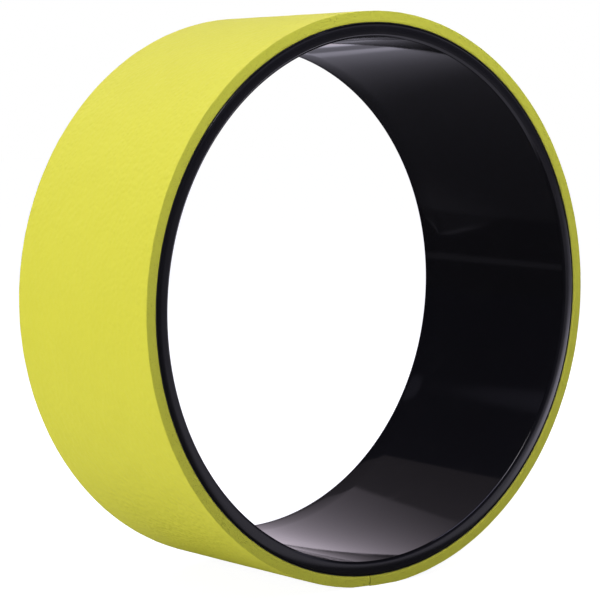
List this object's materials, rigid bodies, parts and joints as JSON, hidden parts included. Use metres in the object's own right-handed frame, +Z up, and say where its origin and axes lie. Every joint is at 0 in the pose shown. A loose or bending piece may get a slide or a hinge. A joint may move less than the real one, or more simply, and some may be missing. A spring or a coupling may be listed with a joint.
{
  "type": "yoga wheel",
  "caption": "Upright yoga wheel: a wide plain plastic ring with a foam mat wrapped and bonded round the outside, rolled on the floor to support stretches and back bends.",
  "frame": {"origin": "centre of the wheel, on its axle line and halfway across its width", "axes": "+Y along the axle line, from the front side to the back, +Z up, the wheel stands on -Z"},
  "size_m": [0.33, 0.125, 0.3295],
  "materials": {
    "ring_plastic": "gloss bore, satin end faces",
    "adhesive": "tacky film, hidden",
    "mat_foam": "matte closed-cell foam with a fine pebbled grain"
  },
  "bodies": {
    "root": {"inner_ring": "ring_plastic", "adhesive_film": "adhesive", "foam_mat": "mat_foam"}
  },
  "joints": []
}
